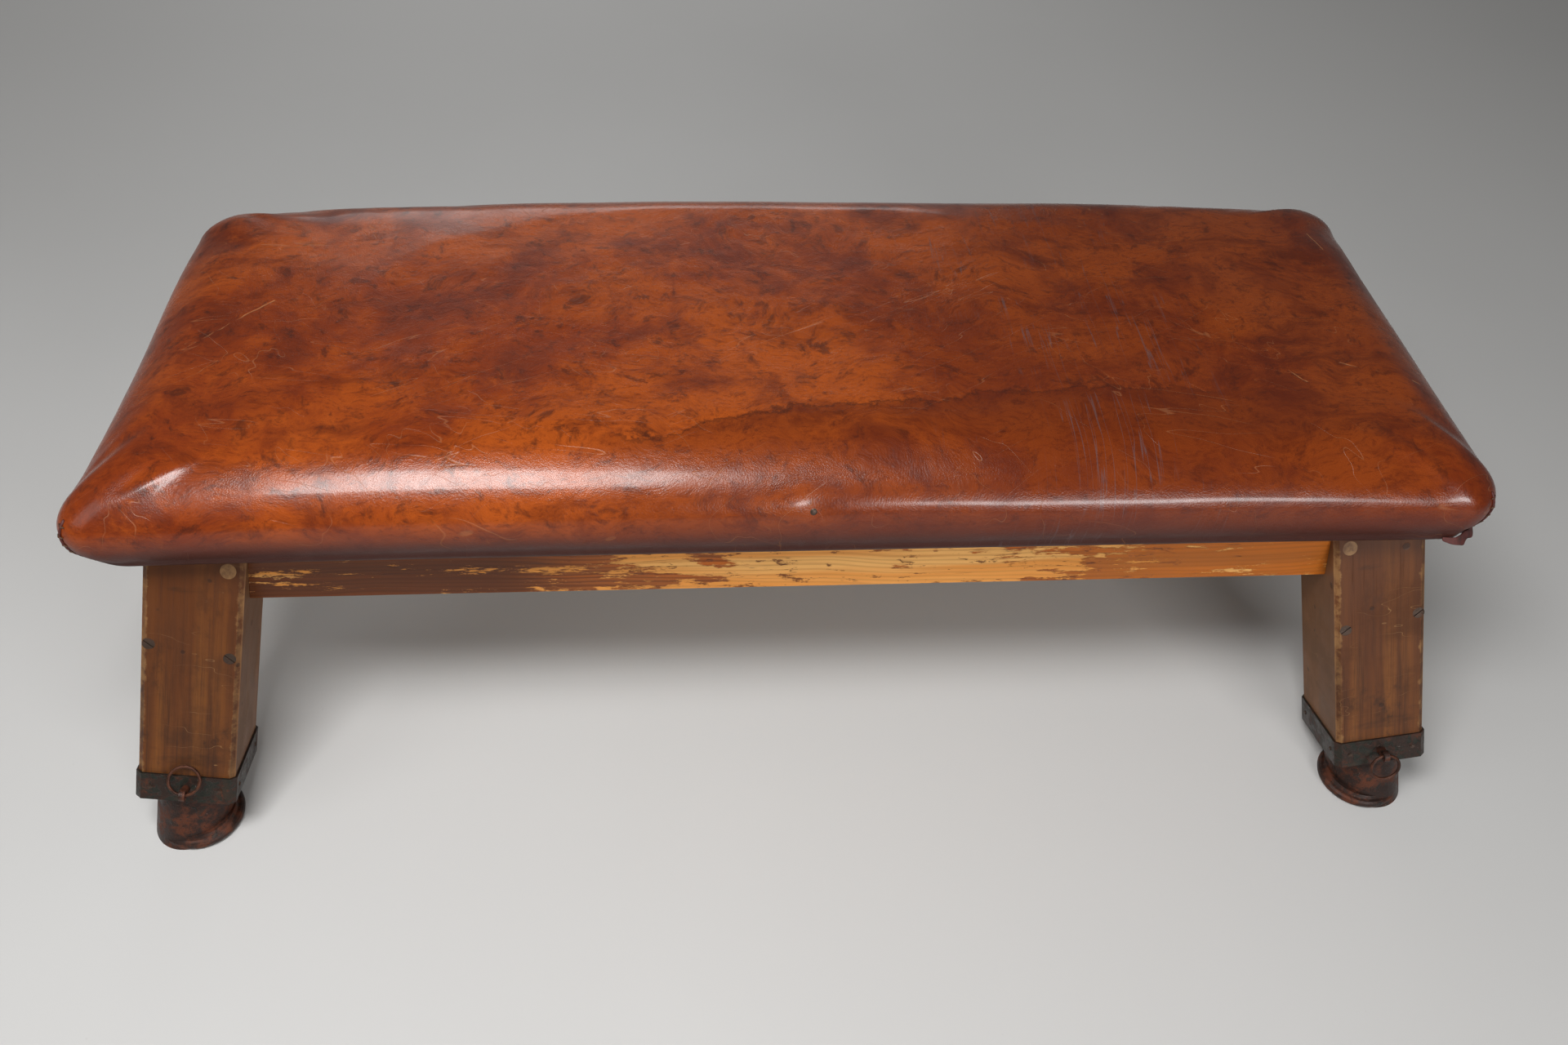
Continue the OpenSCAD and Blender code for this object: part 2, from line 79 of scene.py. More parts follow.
studio = {
    "lamps": {
        # name: place, aim, width, height, power
        "overheadLeft": ((-0.62, -1.10, 2.35), (-0.42, -0.30, 0.40), 1.05, 0.66, 53),
        "lowRight": ((1.18, -2.75, 1.22), (0.3, -0.25, 0.42), 1.30, 0.36, 38),
        "wideLeft": ((-2.9, -1.7, 2.4), (0.0, 0.0, 0.1), 1.8, 1.8, 19),
        "farFloor": ((-0.4, 3.6, 1.5), (-0.2, 2.2, 0.0), 2.6, 0.8, 16),
    },
    "sky": (0.80, 0.79, 0.77),
    "skyPower": 0.14,
    "floor": (0.575, 0.570, 0.560),
    "floorSize": 9.0,
}


def makeLamps():
    for name, (place, aim, wide, high, power) in studio["lamps"].items():
        lamp = bpy.data.lights.new(name, "AREA")
        lamp.shape = "RECTANGLE"
        lamp.size, lamp.size_y, lamp.energy = wide, high, power
        thing = bpy.data.objects.new(name, lamp)
        thing.location = place
        thing.rotation_euler = (Vector(aim) - Vector(place)).to_track_quat("-Z", "Y").to_euler()
        bpy.context.scene.collection.objects.link(thing)
    sky = bpy.data.worlds.new("studioSky")
    sky.use_nodes = True
    sky.node_tree.nodes["Background"].inputs["Color"].default_value = (*studio["sky"], 1)
    sky.node_tree.nodes["Background"].inputs["Strength"].default_value = studio["skyPower"]
    bpy.context.scene.world = sky
    bpy.context.scene.view_settings.view_transform = "Standard"


makeCamera()
makeLamps()
print("camera and lamps placed")

class Wire:
    # a node's output that can be used in ordinary arithmetic
    def __init__(self, finish, socket):
        self.finish = finish
        self.socket = socket

    def maths(self, operation, first, second):
        return self.finish.node("ShaderNodeMath", {"operation": operation}, {0: first, 1: second})

    def __add__(self, other):
        return self.maths("ADD", self, other)

    def __radd__(self, other):
        return self.maths("ADD", other, self)

    def __sub__(self, other):
        return self.maths("SUBTRACT", self, other)

    def __rsub__(self, other):
        return self.maths("SUBTRACT", other, self)

    def __mul__(self, other):
        return self.maths("MULTIPLY", self, other)

    def __rmul__(self, other):
        return self.maths("MULTIPLY", other, self)

    def __abs__(self):
        return self.maths("ABSOLUTE", self, 0)


class Finish:
    # one material, built up by plain calls
    def __init__(self, name):
        self.material = bpy.data.materials.new(name)
        self.material.use_nodes = True
        self.tree = self.material.node_tree
        self.tree.nodes.clear()

    def node(self, kind, settings=None, inputs=None, output=0):
        made = self.tree.nodes.new(kind)
        for key, value in (settings or {}).items():
            setattr(made, key, value)
        for key, value in (inputs or {}).items():
            if isinstance(value, Wire):
                self.tree.links.new(value.socket, made.inputs[key])
            elif isinstance(value, tuple) and len(value) == 3 and made.inputs[key].type == "RGBA":
                made.inputs[key].default_value = (*value, 1)
            else:
                made.inputs[key].default_value = value
        return Wire(self, made.outputs[output]) if made.outputs else None

    def place(self):
        return self.node("ShaderNodeTexCoord", output=3)

    def vector(self, operation, first, second=(0, 0, 0)):
        return self.node("ShaderNodeVectorMath", {"operation": operation}, {0: first, 1: second})

    def number(self, operation, first, second=(0, 0, 0)):
        return self.node("ShaderNodeVectorMath", {"operation": operation}, {0: first, 1: second}, output=1)

    def scaled(self, where, factor):
        return self.node("ShaderNodeVectorMath", {"operation": "SCALE"}, {0: where, "Scale": factor})

    def stirred(self, where, scale, amount, detail=2.0):
        # the same place, pushed about by a noise
        swirl = self.node("ShaderNodeTexNoise", None, {
            "Vector": where, "Scale": scale, "Detail": detail}, output=1)
        return self.vector("ADD", where, self.scaled(swirl, amount))

    def noise(self, where, scale, detail=4.0, rough=0.55, twist=0.0):
        return self.node("ShaderNodeTexNoise", None, {
            "Vector": where, "Scale": scale, "Detail": detail, "Roughness": rough, "Distortion": twist})

    def pebbles(self, where, scale):
        return self.node("ShaderNodeTexVoronoi", None, {"Vector": where, "Scale": scale})

    def steps(self, value, low, high, start=0.0, end=1.0):
        # a soft step: start below low, end above high
        return self.node("ShaderNodeMapRange", {"interpolation_type": "SMOOTHSTEP"}, {
            "Value": value, "From Min": low, "From Max": high, "To Min": start, "To Max": end})

    def tint(self, amount, first, second):
        return self.node("ShaderNodeMix", {"data_type": "RGBA"}, {0: amount, 6: first, 7: second}, output=2)

    def parts(self, where):
        split = self.node("ShaderNodeSeparateXYZ", None, {0: where}).socket.node
        return [Wire(self, part) for part in split.outputs]

    def joined(self, x, y, z):
        return self.node("ShaderNodeCombineXYZ", None, {0: x, 1: y, 2: z})

    def hairline(self, value, level, width):
        # 1 on the thin line where a value passes a level
        return self.steps(abs(value - level), 0.0, width, 1.0, 0.0)

    def stroke(self, where, start, end, width):
        # 1 along the straight line from start to end
        start, end = Vector(start), Vector(end)
        span = end - start
        offset = self.vector("SUBTRACT", where, tuple(start))
        along = self.number("DOT_PRODUCT", offset, tuple(span / span.length_squared))
        along = self.node("ShaderNodeClamp", None, {"Value": along, "Min": 0.0, "Max": 1.0})
        nearest = self.scaled(tuple(span), along)
        return self.steps(self.number("LENGTH", self.vector("SUBTRACT", offset, nearest)), 0.0, width, 1.0, 0.0)

    def spot(self, where, centre, size, inner=0.4):
        # 1 inside an ellipsoid of that size round a centre
        offset = self.vector("SUBTRACT", where, centre)
        reach = self.number("LENGTH", self.vector("DIVIDE", offset, size))
        return self.steps(reach, inner, 1.0, 1.0, 0.0)

    def close(self, colour, rough, height=None, distance=0.001, strength=1.0, coat=0.0, **fixed):
        inputs = {"Base Color": colour, "Roughness": rough, "Coat Weight": coat}
        if height is not None:
            inputs["Normal"] = self.node("ShaderNodeBump", None, {
                "Strength": strength, "Distance": distance, "Height": height})
        inputs.update({name.replace("_", " "): value for name, value in fixed.items()})
        shader = self.node("ShaderNodeBsdfPrincipled", None, inputs)
        self.node("ShaderNodeOutputMaterial", None, {"Surface": shader})
        return self.material


def dress(thing, material):
    thing.data.materials.clear()
    thing.data.materials.append(material)


def makeMesh(name, points, faces):
    mesh = bpy.data.meshes.new(name)
    mesh.from_pydata([tuple(p) for p in points], [], faces)
    mesh.update()
    thing = bpy.data.objects.new(name, mesh)
    bpy.context.scene.collection.objects.link(thing)
    mesh.shade_smooth()
    return thing


def bands(rows, count):
    # the faces between rows of closed rings with count points each
    faces = []
    for low in range(0, (rows - 1) * count, count):
        high = low + count
        for step in range(count):
            after = (step + 1) % count
            faces.append((low + step, low + after, high + after, high + step))
    return faces


leatherLook = {
    "orange": (0.320, 0.060, 0.006),
    "cognac": (0.185, 0.027, 0.003),
    "redBrown": (0.078, 0.010, 0.002),
    "stain": (0.022, 0.005, 0.003),
    "scuff": (0.50, 0.22, 0.09),
    # centre and half sizes of each spill
    "stains": [
        ((0.017, -0.122, 0.47), (0.030, 0.055, 0.1)),
        ((0.135, 0.075, 0.47), (0.030, 0.026, 0.1)),
        ((0.286, -0.127, 0.47), (0.034, 0.042, 0.1)),
        ((0.010, -0.05, 0.47), (0.016, 0.05, 0.1)),
        ((-0.30, -0.02, 0.47), (0.05, 0.03, 0.1)),
        ((-0.42, -0.11, 0.47), (0.06, 0.04, 0.1)),
    ],
    # both ends of each scratch
    "scratches": [
        ((0.598, -0.097, 0.47), (0.650, -0.112, 0.465)),
        ((0.650, -0.112, 0.465), (0.705, -0.123, 0.455)),
        ((0.379, 0.071, 0.476), (0.548, -0.132, 0.472)),
        ((-0.632, -0.196, 0.46), (-0.672, -0.261, 0.44)),
        ((-0.251, -0.164, 0.472), (-0.235, -0.12, 0.474)),
        ((-0.66, -0.05, 0.47), (-0.58, 0.03, 0.474)),
        ((0.66, 0.174, 0.465), (0.672, 0.094, 0.468)),
        ((-0.18, 0.06, 0.476), (-0.15, 0.0, 0.476)),
    ],
    "tideLine": ((-0.196, -0.214), (0.009, -0.167), (0.299, -0.146)),
    "stud": (0.003, -0.288, 0.4375),
}


def makeLeather():
    look = leatherLook
    hide = Finish("waxedLeather")
    where = hide.place()
    x, y, z = hide.parts(where)
    warp = hide.stirred(where, 7.0, 0.12, 3.0)
    clouds = hide.noise(where, 2.6, 5, 0.6, 0.4)
    blotches = hide.noise(warp, 9.0, 8, 0.68, 0.3)
    flecks = hide.noise(warp, 48.0, 6, 0.72)
    streaks = hide.noise(hide.vector("MULTIPLY", warp, (5.0, 26.0, 26.0)), 1.0, 6, 0.7)
    smudges = hide.noise(warp, 21.0, 8, 0.74, 0.2)
    colour = hide.tint(hide.steps(clouds + (blotches - 0.5) * 0.7, 0.34, 0.62), look["orange"], look["cognac"])
    colour = hide.tint(hide.steps(blotches, 0.47, 0.70) * 0.62, colour, look["redBrown"])
    colour = hide.tint(hide.steps(smudges, 0.50, 0.72) * 0.55, colour, look["redBrown"])
    colour = hide.tint(hide.steps(smudges, 0.47, 0.30) * 0.55, colour, look["orange"])
    colour = hide.tint(hide.steps(streaks, 0.50, 0.68) * 0.55, colour, look["redBrown"])
    colour = hide.tint(hide.steps(flecks, 0.52, 0.68) * 0.62, colour, look["stain"])
    colour = hide.tint(hide.steps(flecks, 0.44, 0.26) * 0.30, colour, look["orange"])
    rubbed = hide.noise(hide.vector("MULTIPLY", warp, (70.0, 240.0, 240.0)), 1.0, 5, 0.75)
    colour = hide.tint(hide.steps(rubbed, 0.50, 0.64) * 0.45, colour, look["redBrown"])
    colour = hide.tint(hide.steps(rubbed, 0.66, 0.74) * 0.6, colour, look["stain"])

    # a tide line left by water runs across the front right; the hide is darker and redder below it
    (ax, ay), (bx, by), (cx, cy) = look["tideLine"]
    shore = hide.steps(x, ax, bx, ay, by) + hide.steps(x, bx, cx, 0.0, cy - by)
    ragged = shore - y + (hide.noise(where, 26.0, 6, 0.7) - 0.5) * 0.055
    wet = hide.steps(ragged, -0.001, 0.005) * hide.steps(x, -0.24, -0.17) * hide.steps(x, 0.70, 0.42)
    edge = hide.hairline(ragged, 0.001, 0.004) * hide.steps(x, -0.24, -0.17) * hide.steps(x, 0.55, 0.32)
    colour = hide.tint(wet * 0.42, colour, look["redBrown"])
    colour = hide.tint(edge * 0.55, colour, look["stain"])

    # spills with ragged edges
    spills = None
    for centre, size in look["stains"]:
        spill = hide.spot(warp, tuple(Vector(centre) + Vector((0.06, 0.06, 0.06))), size, 0.2)  # warp adds 0.06
        spills = spill if spills is None else spills + spill
    spotty = spills * 0.9 + (flecks - 0.5) * 2.6 + (blotches - 0.5) * 1.6
    spills = hide.steps(spotty, 0.45, 1.1) * hide.steps(spills, 0.02, 0.3)
    colour = hide.tint(spills * 0.50, colour, look["stain"])
    colour = hide.tint(hide.steps(x + (clouds - 0.5) * 0.8, -0.05, 0.30) * 0.38, colour, look["redBrown"])

    # the lower roll is painted darker and redder, blackest at the hem: partly dirt rubbed in, partly painted
    # shade on the roll's downward-facing underside
    grimeAndShade = hide.steps(z + (blotches - 0.5) * 0.04, 0.432, 0.382)
    colour = hide.tint(grimeAndShade * 0.92, colour, look["redBrown"])
    colour = hide.tint(hide.steps(z + (smudges - 0.5) * 0.02, 0.408, 0.364) * 0.75, colour, look["stain"])
    colour = hide.tint(hide.steps(z, 0.3625, 0.357) * 0.85, colour, look["stain"])

    # faint grey lines across the top, hairline scratches both ways, and a few deeper cuts
    lines = hide.noise(hide.vector("MULTIPLY", where, (55.0, 2.0, 2.0)), 1.0, 3, 0.6)
    lines = hide.hairline(lines, 0.5, 0.012) * hide.steps(hide.noise(where, 12.0, 3), 0.45, 0.6)
    lines = lines * hide.steps(x, 0.10, 0.18) * hide.steps(x, 0.48, 0.38)
    colour = hide.tint(lines * 0.45, colour, (0.10, 0.075, 0.08))
    hairs = None
    for turn, (along, across) in enumerate(((3.0, 34.0), (30.0, 4.0), (9.0, 24.0))):
        angle = 0.5 + 0.9 * turn
        cosine, sine = math.cos(angle), math.sin(angle)
        swung = hide.joined(x * cosine + y * sine, y * cosine - x * sine, z)
        stretched = hide.noise(hide.vector("MULTIPLY", swung, (along, across, 9.0)), 1.0, 2, 0.4)
        hair = hide.hairline(stretched, 0.52, 0.0035)
        hair = hair * hide.steps(hide.noise(where, 5.0 + 3 * turn, 2), 0.50, 0.62)
        hairs = hair if hairs is None else hairs + hair
    cuts = None
    jitter = hide.stirred(where, 60.0, 0.006)
    middle = Vector((0.003, 0.003, 0.003))  # half of what stirring adds
    for start, end in look["scratches"]:
        cut = hide.stroke(jitter, Vector(start) + middle, Vector(end) + middle, 0.0022)
        cuts = cut if cuts is None else cuts + cut
    colour = hide.tint(hide.steps(hairs, 0.0, 1.0) * 0.18, colour, look["scuff"])
    colour = hide.tint(hide.steps(cuts, 0.1, 1.0) * 0.50, colour, look["scuff"])

    # the puckered stud with its crease; both are painted dark, as painted shade in the hollow
    dent = hide.spot(where, look["stud"], (0.016, 0.016, 0.02), 0.1)
    crease = hide.stroke(where, look["stud"], (-0.096, -0.276, 0.447), 0.004)
    colour = hide.tint(hide.steps(dent + crease * 0.5, 0.2, 1.0) * 0.8, colour, look["stain"])

    grain = hide.pebbles(warp, 520.0)
    pores = hide.noise(where, 900.0, 2, 0.5)
    height = (grain * 0.22 + pores * 0.16 + flecks * 0.45 + rubbed * 0.12 + hide.noise(where, 22.0, 4) * 1.6
              - hairs * 0.35 - cuts * 0.9 - dent * 2.4 - crease * 1.3)
    rough = (hide.steps(blotches, 0.35, 0.75, 0.25, 0.38) + (flecks - 0.5) * 0.12
             + spills * 0.05 + hairs * 0.12 + grimeAndShade * 0.22)
    coat = hide.steps(hide.noise(where, 6.0, 4, 0.6), 0.35, 0.7, 0.36, 0.10) * (1.0 - grimeAndShade)
    return hide.close(colour, rough, height, 0.0011, 0.55, coat, Coat_Roughness=0.13, Specular_IOR_Level=0.26)


woodLooks = {
    "leg": {"pale": (0.150, 0.048, 0.007), "mid": (0.082, 0.022, 0.003), "dark": (0.018, 0.006, 0.002),
            "worn": (0.30, 0.16, 0.060), "rough": 0.50, "coat": 0.03},
    "rail": {"pale": (0.66, 0.26, 0.050), "mid": (0.46, 0.110, 0.007), "dark": (0.060, 0.010, 0.002),
             "worn": (0.76, 0.40, 0.12), "rough": 0.44, "coat": 0.05},
    "board": {"pale": (0.52, 0.34, 0.17), "mid": (0.42, 0.25, 0.11), "dark": (0.22, 0.11, 0.045)},
    "post": {"pale": (0.44, 0.27, 0.12), "mid": (0.34, 0.18, 0.07), "dark": (0.16, 0.07, 0.025), "coat": 0.15},
}


def grainOf(wood, where, across, over, along, tight):
    # growth lines and fibres in the frame of one piece of timber
    stretched = wood.joined(across * tight, over * tight * 0.35, along * 2.2)
    bent = wood.noise(wood.joined(across * 3.0, over * 3.0, along * 1.4), 1.0, 3, 0.5)
    rings = wood.noise(wood.vector("ADD", stretched, wood.joined(bent * 2.6, 0.0, 0.0)), 1.0, 2, 0.4)
    lines = wood.node("ShaderNodeTexWave", {"bands_direction": "X"}, {
        "Vector": wood.joined(across + bent * 0.10, over, along * 0.05), "Scale": tight * 0.9,
        "Distortion": 5.0, "Detail": 4.0, "Detail Scale": 1.6}, output=1)
    fibres = wood.noise(wood.joined(across * 420.0, over * 420.0, along * 9.0), 1.0, 4, 0.6)
    return rings, lines, fibres


def legFrame(wood, corner):
    # a point, and its distances across, over and along the leg of that corner from the post's middle
    up = -Vector(joints[corner + "_leg_extension"]["axis"])
    out = Vector(joints[corner + "_pin_pull"]["axis"])
    low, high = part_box(corner + "_post")
    where = wood.place()
    offset = wood.vector("SUBTRACT", where, tuple((low + high) / 2))
    along = wood.number("DOT_PRODUCT", offset, tuple(up))
    over = wood.number("DOT_PRODUCT", offset, tuple(out))
    across = wood.number("DOT_PRODUCT", offset, tuple(up.cross(out)))
    return where, across, over, along


def makeLegWood(corner):
    look = woodLooks["leg"]
    wood = Finish(corner.replace("_", "") + "LegWood")
    where, across, over, along = legFrame(wood, corner)
    rings, lines, fibres = grainOf(wood, where, across, over, along, 46.0)
    patches = wood.noise(where, 11.0, 5, 0.62)
    colour = wood.tint(wood.steps(rings, 0.36, 0.62), look["pale"], look["mid"])
    colour = wood.tint(wood.steps(lines, 0.45, 0.95) * 0.12, colour, look["dark"])
    streaks = wood.noise(wood.joined(across * 130.0, over * 130.0, along * 5.0), 1.0, 5, 0.7)
    colour = wood.tint(wood.steps(streaks, 0.47, 0.70) * 0.50, colour, look["dark"])
    colour = wood.tint(wood.steps(fibres, 0.50, 0.72) * 0.50, colour, look["dark"])
    colour = wood.tint(wood.steps(patches, 0.48, 0.70) * 0.55, colour, look["dark"])
    smears = wood.noise(wood.vector("MULTIPLY", where, (26.0, 26.0, 12.0)), 1.0, 7, 0.75)
    colour = wood.tint(wood.steps(smears, 0.55, 0.68) * 0.6, colour, look["dark"])
    # painted shade: the upper part of each leg, under the seat's overhang, is painted darker
    underSeatShade = wood.steps(along + (patches - 0.5) * 0.10, 0.02, 0.16)
    colour = wood.tint(underSeatShade * 0.60, colour, (0.085, 0.022, 0.002))
    colour = wood.tint(wood.steps(along, -0.075, -0.098) * 0.6, colour, look["dark"])
    stain = wood.noise(wood.joined(across * 9.0, over * 9.0, along * 34.0), 1.0, 4, 0.6)
    colour = wood.tint(wood.steps(stain, 0.60, 0.72) * 0.40, colour, look["dark"])
    # painted sheen: both flanks are painted paler and greyer than the faces, standing in for the light they
    # catch
    flankSheen = wood.steps(abs(across), 0.0485, 0.0497)
    colour = wood.tint(flankSheen * 0.34, colour, (0.27, 0.14, 0.065))
    # worn edges and small knocks
    nibbled = (wood.noise(where, 70.0, 5, 0.7) - 0.5) * 0.014
    worn = wood.steps(abs(across) + abs(over) + nibbled, 0.1000, 0.1030)
    worn = worn * wood.steps(patches, 0.62, 0.42, 0.35, 1.0)
    colour = wood.tint(worn * 0.55, colour, look["worn"])
    knocks = wood.steps(wood.pebbles(where, 34.0) + (patches - 0.5) * 0.4, 0.13, 0.08)
    colour = wood.tint(knocks * 0.6, colour, look["dark"])
    cuts = wood.hairline(wood.noise(wood.joined(across * 14.0, over * 14.0, along * 40.0), 1.0, 2), 0.5, 0.004)
    cuts = cuts * wood.steps(patches, 0.5, 0.6)
    colour = wood.tint(cuts * 0.5, colour, look["worn"])
    height = fibres * 0.5 + rings * 0.3 - knocks * 0.7 - cuts * 0.4 - wood.steps(fibres, 0.64, 0.72) * 0.5
    rough = wood.steps(patches, 0.35, 0.7, look["rough"], look["rough"] + 0.18) + worn * 0.2
    return wood.close(colour, rough, height, 0.0007, 0.5, look["coat"],
                      Coat_Roughness=0.25, Specular_IOR_Level=0.30)


def makeRailWood(name, lengthwise):
    # varnished pine whose varnish has flaked off, most of all in the middle of its face
    look = woodLooks["rail"]
    wood = Finish(name)
    where = wood.place()
    x, y, z = wood.parts(where)
    along, over = (x, y) if lengthwise else (y, x)
    rings, lines, fibres = grainOf(wood, where, z, over, along, 52.0)
    patches = wood.noise(where, 13.0, 4, 0.6)
    varnish = wood.tint(wood.steps(rings, 0.38, 0.60), look["mid"], (0.27, 0.075, 0.012))
    varnish = wood.tint(wood.steps(lines, 0.4, 0.95) * 0.5, varnish, look["dark"])
    varnish = wood.tint(wood.steps(fibres, 0.52, 0.72) * 0.5, varnish, look["dark"])
    bare = wood.tint(wood.steps(rings, 0.38, 0.60), look["worn"], look["pale"])
    bare = wood.tint(wood.steps(lines, 0.4, 0.95) * 0.35, bare, (0.40, 0.16, 0.04))
    bare = wood.tint(wood.steps(fibres, 0.55, 0.72) * 0.3, bare, (0.36, 0.15, 0.04))
    flaking = wood.noise(wood.joined(along * 11.0, over * 40.0, z * 52.0), 1.0, 8, 0.78)
    middle = wood.steps(abs(along - 0.06 + (patches - 0.5) * 0.5), 0.34, 0.10)
    gone = wood.steps(flaking + middle * 0.20 - wood.steps(z, 0.31, 0.345) * 0.05, 0.565, 0.60)
    left = wood.steps(along, -0.20, -0.34)
    colour = wood.tint(left * 0.85, varnish, (0.060, 0.013, 0.001))
    colour = wood.tint(wood.steps(along, 0.15, 0.40) * 0.6, colour, (0.44, 0.125, 0.010))
    colour = wood.tint(gone, colour, bare)
    crust = wood.steps(wood.noise(wood.joined(along * 22.0, over * 60.0, z * 75.0), 1.0, 6, 0.75), 0.585, 0.61)
    crust = crust * wood.steps(abs(along - 0.08), 0.46, 0.20)
    colour = wood.tint(crust * 0.85, colour, (0.11, 0.025, 0.006))
    crack = wood.hairline(wood.noise(wood.joined(along * 3.5, over * 20.0, z * 60.0), 1.0, 3), 0.5, 0.006)
    crack = crack * wood.steps(patches, 0.52, 0.6)
    colour = wood.tint(crack * 0.8, colour, look["dark"])
    height = fibres * 0.4 - gone * 0.9 + crust * 0.5 - crack * 1.4
    rough = wood.steps(gone, 0.0, 1.0, look["rough"], 0.62)
    coat = wood.steps(gone, 0.0, 1.0, look["coat"], 0.0)
    return wood.close(colour, rough, height, 0.0008, 0.6, coat, Coat_Roughness=0.2, Specular_IOR_Level=0.25)


def makeBoardWood():
    look = woodLooks["board"]
    wood = Finish("sawnPine")
    where = wood.place()
    x, y, z = wood.parts(where)
    rings, lines, fibres = grainOf(wood, where, y, z, x, 34.0)
    colour = wood.tint(wood.steps(rings, 0.36, 0.62), look["pale"], look["mid"])
    colour = wood.tint(wood.steps(lines, 0.4, 0.95) * 0.5, colour, look["dark"])
    colour = wood.tint(wood.steps(fibres, 0.5, 0.75) * 0.4, colour, look["dark"])
    knots = wood.steps(wood.pebbles(wood.vector("MULTIPLY", where, (3.2, 6.0, 3.0)), 1.0), 0.09, 0.045)
    colour = wood.tint(knots * 0.8, colour, (0.12, 0.045, 0.015))
    dust = wood.noise(where, 6.0, 5, 0.6)
    colour = wood.tint(wood.steps(dust, 0.45, 0.75) * 0.35, colour, (0.20, 0.15, 0.10))
    saw = wood.node("ShaderNodeTexWave", {"bands_direction": "X"}, {
        "Vector": where, "Scale": 90.0, "Distortion": 1.5, "Detail": 2.0}, output=1)
    return wood.close(colour, 0.72 + dust * 0.12, fibres * 0.6 + saw * 0.25, 0.0006, 0.5)


def makePostWood(corner):
    look = woodLooks["post"]
    wood = Finish(corner.replace("_", "") + "PostWood")
    where, across, over, along = legFrame(wood, corner)
    rings, lines, fibres = grainOf(wood, where, across, over, along, 60.0)
    colour = wood.tint(wood.steps(rings, 0.36, 0.62), look["pale"], look["mid"])
    colour = wood.tint(wood.steps(lines, 0.4, 0.95) * 0.35, colour, look["dark"])
    colour = wood.tint(wood.steps(fibres, 0.5, 0.75) * 0.35, colour, look["dark"])
    rubbed = wood.noise(wood.joined(across * 60.0, over * 60.0, along * 3.0), 1.0, 3)
    colour = wood.tint(wood.steps(rubbed, 0.5, 0.7) * 0.4, colour, look["dark"])
    return wood.close(colour, 0.36 + rubbed * 0.2, fibres * 0.5, 0.0005, 0.4, look["coat"], Coat_Roughness=0.3)


def makePegWood():
    wood = Finish("pegEndGrain")
    where = wood.place()
    rays = wood.noise(where, 260.0, 4, 0.7)
    spread = wood.noise(where, 40.0, 3)
    ends = wood.steps(spread + (rays - 0.5) * 0.5, 0.38, 0.64)
    colour = wood.tint(ends, (0.25, 0.125, 0.042), (0.13, 0.052, 0.014))
    colour = wood.tint(wood.steps(rays, 0.6, 0.75) * 0.6, colour, (0.08, 0.03, 0.01))
    return wood.close(colour, 0.5 + spread * 0.2, rays, 0.0005, 0.5, 0.1, Coat_Roughness=0.3)


ironLooks = {
    "band": {"base": (0.026, 0.015, 0.011), "rust": (0.085, 0.027, 0.013), "paint": (0.012, 0.020, 0.015),
             "bright": (0.26, 0.22, 0.20), "paintFrom": 0.50, "rustFrom": 0.50, "metal": 0.35},
    "foot": {"base": (0.026, 0.014, 0.011), "rust": (0.100, 0.030, 0.014), "paint": (0.012, 0.017, 0.015),
             "bright": (0.24, 0.18, 0.15), "paintFrom": 0.58, "rustFrom": 0.44, "metal": 0.40},
    "ring": {"base": (0.034, 0.014, 0.009), "rust": (0.085, 0.028, 0.013), "paint": (0.018, 0.014, 0.012),
             "bright": (0.20, 0.13, 0.10), "paintFrom": 0.66, "rustFrom": 0.40, "metal": 0.45},
    "screw": {"base": (0.075, 0.050, 0.038), "rust": (0.120, 0.050, 0.026), "paint": (0.020, 0.018, 0.016),
              "bright": (0.34, 0.30, 0.27), "paintFrom": 0.60, "rustFrom": 0.52, "metal": 0.7},
}


def makeIron(name, kind):
    look = ironLooks[kind]
    iron = Finish(name)
    where = iron.place()
    scale = iron.noise(where, 46.0, 7, 0.68)
    pits = iron.noise(where, 210.0, 5, 0.7)
    worn = iron.noise(where, 90.0, 4, 0.6, 0.6)
    colour = iron.tint(iron.steps(scale, look["rustFrom"], look["rustFrom"] + 0.16), look["base"], look["rust"])
    colour = iron.tint(iron.steps(pits, 0.52, 0.72) * 0.6, colour, look["rust"])
    paint = iron.steps(worn + (scale - 0.5) * 0.6, look["paintFrom"], look["paintFrom"] + 0.05)
    colour = iron.tint(paint * 0.65, colour, look["paint"])
    bright = iron.steps(iron.noise(where, 330.0, 3, 0.6), 0.69, 0.76) * iron.steps(scale, 0.62, 0.48)
    colour = iron.tint(bright * 0.7, colour, look["bright"])
    height = scale * 1.2 + pits * 0.8 + paint * 0.5
    rough = iron.steps(scale, 0.38, 0.66, 0.36, 0.66) + (pits - 0.5) * 0.2 - paint * 0.06
    return iron.close(colour, rough, height, 0.0009, 0.7, 0.0, Metallic=look["metal"], Specular_IOR_Level=0.35)


def makeSpringSteel():
    steel = Finish("oiledSpring")
    where = steel.place()
    film = steel.noise(where, 160.0, 4)
    colour = steel.tint(steel.steps(film, 0.4, 0.7), (0.42, 0.42, 0.41), (0.20, 0.17, 0.14))
    return steel.close(colour, 0.28 + film * 0.2, film, 0.0003, 0.4, 0.0, Metallic=0.9)


def makeHessian():
    cloth = Finish("hessian")
    where = cloth.place()
    warpThread = cloth.node("ShaderNodeTexWave", {"bands_direction": "X"}, {
        "Vector": where, "Scale": 160.0, "Distortion": 1.2}, output=1)
    weftThread = cloth.node("ShaderNodeTexWave", {"bands_direction": "Y"}, {
        "Vector": where, "Scale": 160.0, "Distortion": 1.2}, output=1)
    fluff = cloth.noise(where, 70.0, 5)
    colour = cloth.tint(cloth.steps(warpThread * weftThread + (fluff - 0.5) * 0.3, 0.1, 0.7),
                        (0.20, 0.13, 0.07), (0.46, 0.34, 0.20))
    return cloth.close(colour, 0.9, warpThread + weftThread + fluff, 0.0006, 0.8)


